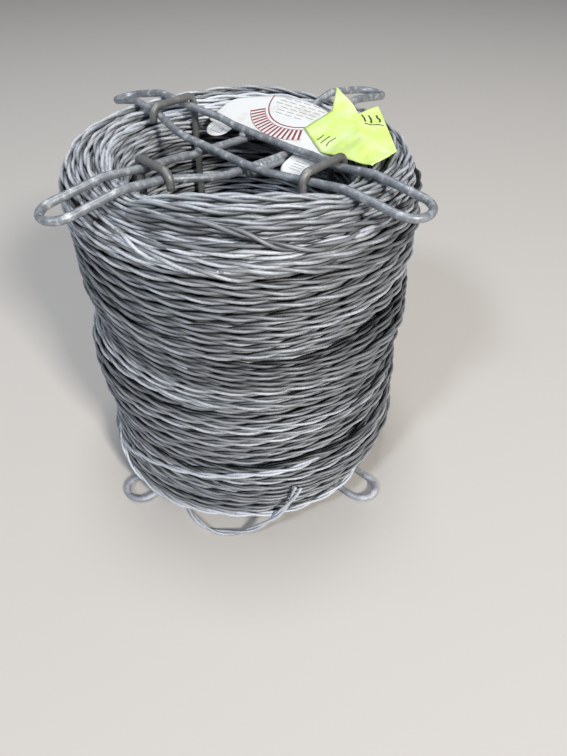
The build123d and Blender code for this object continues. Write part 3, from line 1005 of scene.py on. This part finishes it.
red_print = [printed_arc(PRINT_ARC_R, 190, 322, width=1.1)]
for turned in np.radians(np.arange(BARS_FROM + 2, BARS_TO, BAR_PITCH)):
    reach = np.linspace(*BAR_ROW, 5)
    bar = np.column_stack([PRINT_X + reach * math.cos(turned), PRINT_UP + reach * math.sin(turned)])
    red_print.append(printed_strip(bar, width=1.9))
for radius in (BAR_ROW[0] - 0.4, BAR_ROW[1] + 0.4):
    red_print.append(printed_arc(radius, BARS_FROM, BARS_TO, width=0.5))

grey_print = []
for number, up in enumerate(RULE_ROWS):
    half = math.sqrt((PRINT_ARC_R - PRINT_MARGIN) ** 2 - (PRINT_UP - up) ** 2)
    for start in np.arange(PRINT_X - half + RULE_INDENT * (number % 3), PRINT_X + half - 8, RULE_PITCH):
        grey_print.append(printed_rule(start, up, RULE_LENGTH, width=0.7))
# A square outline on the left ear and four rules on the right one
ear_x, ear_up = EARS[0][0], EARS[0][1] + 8.5
for side in (((-5, -3), (5, -3)), ((-5, 3), (5, 3)), ((-5, -3), (-5, 3)), ((5, -3), (5, 3))):
    grey_print.append(printed_strip([(ear_x + x, ear_up + up) for x, up in side], width=0.5))
ear_x, ear_up = EARS[1][0] - 4, EARS[1][1] + 8
for number in range(4):
    grey_print.append(printed_rule(ear_x, ear_up + 2.6 * number, length=10, width=0.6))

for name, strips, colour in (("red_printing", red_print, "#8a3d42"),
                             ("grey_printing", grey_print, "#9a9a98")):
    # The ink lies thin on the card, and is rubbed and stained with it.
    ink = paper(f"{name}_worn", colour, "#c4b5b0", worn_from=0.55, roughness=0.5)
    printing = mesh_piece(name, *joined(strips), ink)
    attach(printing, "root")
    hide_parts("label_card")

# Lot tag
# A sheet of fluorescent yellow-green paper, crumpled by the weather, lying on the card and the crown
# with one corner that stands up.
TAG_T = 0.25                # thickness
TAG_GAP = 0.5               # how far above the card the corners are that lie on it
# Its corners in order round the sheet: those with no height of their own lie on the card
TAG_CORNERS = [
    (23.0, 72.5, None),
    (16.8, 47.4, None),
    (46.1, 31.1, None),
    (85.0, 21.5, 289.0),
    (98.0, 20.5, 290.3),
    (95.9, 51.9, 289.8),
    (44.1, 101.2, 297.0),
    (44.1, 76.5, None),
]
TAG_FLAP_SHOULDER = Vector((35.7, 81.0, 300.3))
TAG_FLAP_TIP = Vector((14.4, 87.0, 307.0))
TAG_MIDDLE = Vector((63.3, 53.3, 292.5))
TAG_FACING = Vector((0, -0.6, 0.8))
TAG_CUTS = 14               # how many times each facet's sides are cut for the finer creases
CREASES = [(48, 0.55), (66, 1.5)]       # their depth by x: shallow where the sheet lies on the card
WIDE_FOLDS = 19.0           # about how far apart the large ones are, and the small ones
SMALL_FOLDS = 8.0


def creased(place):
    """A place of the flat facets moved to where the finer creases have it."""
    small = abs(noise.noise(place / SMALL_FOLDS + Vector((5, 1, 2))))
    fold = 1 - 2 * abs(noise.noise(place / WIDE_FOLDS)) - small
    return place + TAG_FACING * float(read_off(CREASES, place.x)) * fold


def crumpled_facet(corners):
    """A three-cornered facet of the sheet, finely creased, as points and faces."""
    a, b, c = corners
    points, row_starts = [], []
    for row in range(TAG_CUTS + 1):
        row_starts.append(len(points))
        for k in range(TAG_CUTS + 1 - row):
            place = a + (b - a) * (k / TAG_CUTS) + (c - a) * (row / TAG_CUTS)
            points.append(creased(place))
    faces = []
    for row in range(TAG_CUTS):
        low, high = row_starts[row], row_starts[row + 1]
        for k in range(TAG_CUTS - row):
            faces.append((low + k, low + k + 1, high + k))
            if k < TAG_CUTS - row - 1:
                faces.append((low + k + 1, high + k + 1, high + k))
    return points, faces


tag_corners = []
for x, y, height in TAG_CORNERS:
    tag_corners.append(Vector((x, y, card_level(y) + TAG_GAP if height is None else height)))
facets = [(a, b, TAG_MIDDLE) for a, b in zip(tag_corners, tag_corners[1:] + tag_corners[:1])]
facets.append((tag_corners[-1], TAG_FLAP_SHOULDER, tag_corners[0]))
facets.append((TAG_FLAP_SHOULDER, TAG_FLAP_TIP, tag_corners[0]))
sheet = bmesh.new()
for facet in facets:
    points, faces = crumpled_facet(facet)
    corners = [sheet.verts.new(point) for point in points]
    for face in faces:
        sheet.faces.new([corners[k] for k in face])
bmesh.ops.remove_doubles(sheet, verts=sheet.verts, dist=0.01)
sheet.verts.index_update()
points = [tuple(corner.co) for corner in sheet.verts]
faces = [tuple(corner.index for corner in face.verts) for face in sheet.faces]
sheet.free()
points, faces = sheet_solid(points, faces, -TAG_FACING * TAG_T)
# Fluorescent dye glows even in shade, and sun and rain have bleached it in places.
tag_paper = paper("fluorescent_paper", "#d2ec80", "#dcecb4", worn_from=0.46, roughness=0.6)
lot_tag = mesh_piece("crumpled_lot_tag", points, faces, tag_paper)
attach(lot_tag, "root")
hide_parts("lot_tag")

# Pen strokes: plain marks in black felt pen, partly washed out. Width, then the places passed.
PEN_ROUTES = [
    (0.8, [(36, 40), (36.6, 43), (37, 46)]),
    (0.8, [(41, 38), (41.4, 42), (42.5, 46)]),
    (0.8, [(47, 37), (45.8, 41), (48, 46)]),
    (1.3, [(47, 77), (51, 75), (55, 71.5)]),
    (1.3, [(50.5, 81), (55, 78), (59, 73)]),
    (1.3, [(54, 86), (57, 83), (60, 82), (63, 78)]),
    (0.9, [(56, 69), (61, 71), (65, 75), (68, 76)]),
]
INK_CLEAR = 0.3             # how far above the creased facets the strokes are, so that none sinks in a crease


def on_tag(x, y, above=0.0):
    """A point of the tag's upper face."""
    for a, b, c in facets:
        first, second = b - a, c - a
        area = first.x * second.y - first.y * second.x
        u = ((x - a.x) * second.y - (y - a.y) * second.x) / area
        v = (first.x * (y - a.y) - first.y * (x - a.x)) / area
        if min(u, v, 1 - u - v) >= 0:
            return list(creased(a + first * u + second * v) + TAG_FACING * (INK_CLEAR + above))
    raise ValueError("the place is off the tag")


pen_strips = []
for width, route in PEN_ROUTES:
    share = np.linspace(0, len(route) - 1, 4 * len(route))
    dense = np.column_stack([np.interp(share, np.arange(len(route)), column) for column in zip(*route)])
    pen_strips.append(printed_strip(dense, width, on_tag))
pen_ink = paper("felt_pen_washed_out", "#2f3a30", "#66745a", worn_from=0.5, roughness=0.6)
pen_marks = mesh_piece("pen_marks", *joined(pen_strips), pen_ink)
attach(pen_marks, "root")
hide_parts("lot_tag")

# Floor, light and camera
# A plain pale floor that the spool stands on, three soft lamps over it in a room of even light, and
# the camera, which looks down on it from between two of its loops. Lamps and floor are in metres.
FLOOR_HALF = 6.0
floor_mesh = bpy.data.meshes.new("floor")
floor_mesh.from_pydata([(-FLOOR_HALF, -FLOOR_HALF, 0), (FLOOR_HALF, -FLOOR_HALF, 0),
                        (FLOOR_HALF, FLOOR_HALF, 0), (-FLOOR_HALF, FLOOR_HALF, 0)], [], [(0, 1, 2, 3)])
floor = bpy.data.objects.new("floor", floor_mesh)
bpy.context.scene.collection.objects.link(floor)
painted_floor = bpy.data.materials.new("floor_matt_paint")
painted_floor.use_nodes = True
shader = painted_floor.node_tree.nodes["Principled BSDF"]
shader.inputs["Base Color"].default_value = linear("#c8c5c0")
shader.inputs["Roughness"].default_value = 0.9
floor_mesh.materials.append(painted_floor)

world = bpy.data.worlds.new("soft_room")
world.use_nodes = True
world.node_tree.nodes.clear()
path_kind = node(world.node_tree, "LightPath")
plain = node(world.node_tree, "Background", {"Color": linear("#dbe2eb"), "Strength": 0.22})
backdrop = node(world.node_tree, "Background", {"Color": linear("#d2d0cc"), "Strength": 0.6})
either = node(world.node_tree, "MixShader", {0: path_kind.outputs["Is Camera Ray"], 1: plain.outputs[0],
                                             2: backdrop.outputs[0]})
node(world.node_tree, "OutputWorld", {"Surface": either.outputs[0]})
bpy.context.scene.world = world


def soft_lamp(name, place, aim, size, power, colour):
    """A square soft lamp that faces its aim."""
    lamp = bpy.data.lights.new(name, "AREA")
    lamp.size = size
    lamp.energy = power
    lamp.color = linear(colour)[:3]
    holder = bpy.data.objects.new(name, lamp)
    holder.location = place
    holder.rotation_euler = (Vector(aim) - Vector(place)).to_track_quat("-Z", "Y").to_euler()
    bpy.context.scene.collection.objects.link(holder)


soft_lamp("overhead_lamp", (-0.3, 0.3, 3.0), (0, 0, 0.2), size=0.8, power=31, colour="#ffffff")
soft_lamp("front_lamp", (0.1, -2.4, 2.7), (0, 0, 0.15), size=0.45, power=41, colour="#e9f0ff")
soft_lamp("right_lamp", (2.65, -0.6, 2.0), (0, 0, 0.15), size=0.5, power=94, colour="#fff8f0")

# The camera, fitted to the ends of the coil and the tips of the links
EYE = Vector((291.15, -277.54, 435.99)) * MM
LOOK = Vector((-0.4857, 0.5381, -0.6888)).normalized()
ROLL = math.radians(0.33)
FOCAL_PX = 554.0
PICTURE_WIDTH_PX = 567.0
level_right = LOOK.cross(Vector((0, 0, 1))).normalized()
level_up = level_right.cross(LOOK)
right = level_right * math.cos(ROLL) + level_up * math.sin(ROLL)
up = level_up * math.cos(ROLL) - level_right * math.sin(ROLL)
lens = bpy.data.cameras.new("camera")
lens.sensor_fit = "HORIZONTAL"
lens.sensor_width = 36.0
lens.lens = FOCAL_PX / PICTURE_WIDTH_PX * lens.sensor_width
lens.clip_start = 0.01
camera = bpy.data.objects.new("camera", lens)
camera.matrix_world = Matrix((right, up, -LOOK)).transposed().to_4x4()
camera.matrix_world.translation = EYE
bpy.context.scene.collection.objects.link(camera)
bpy.context.scene.camera = camera
bpy.context.scene.view_settings.view_transform = "Standard"
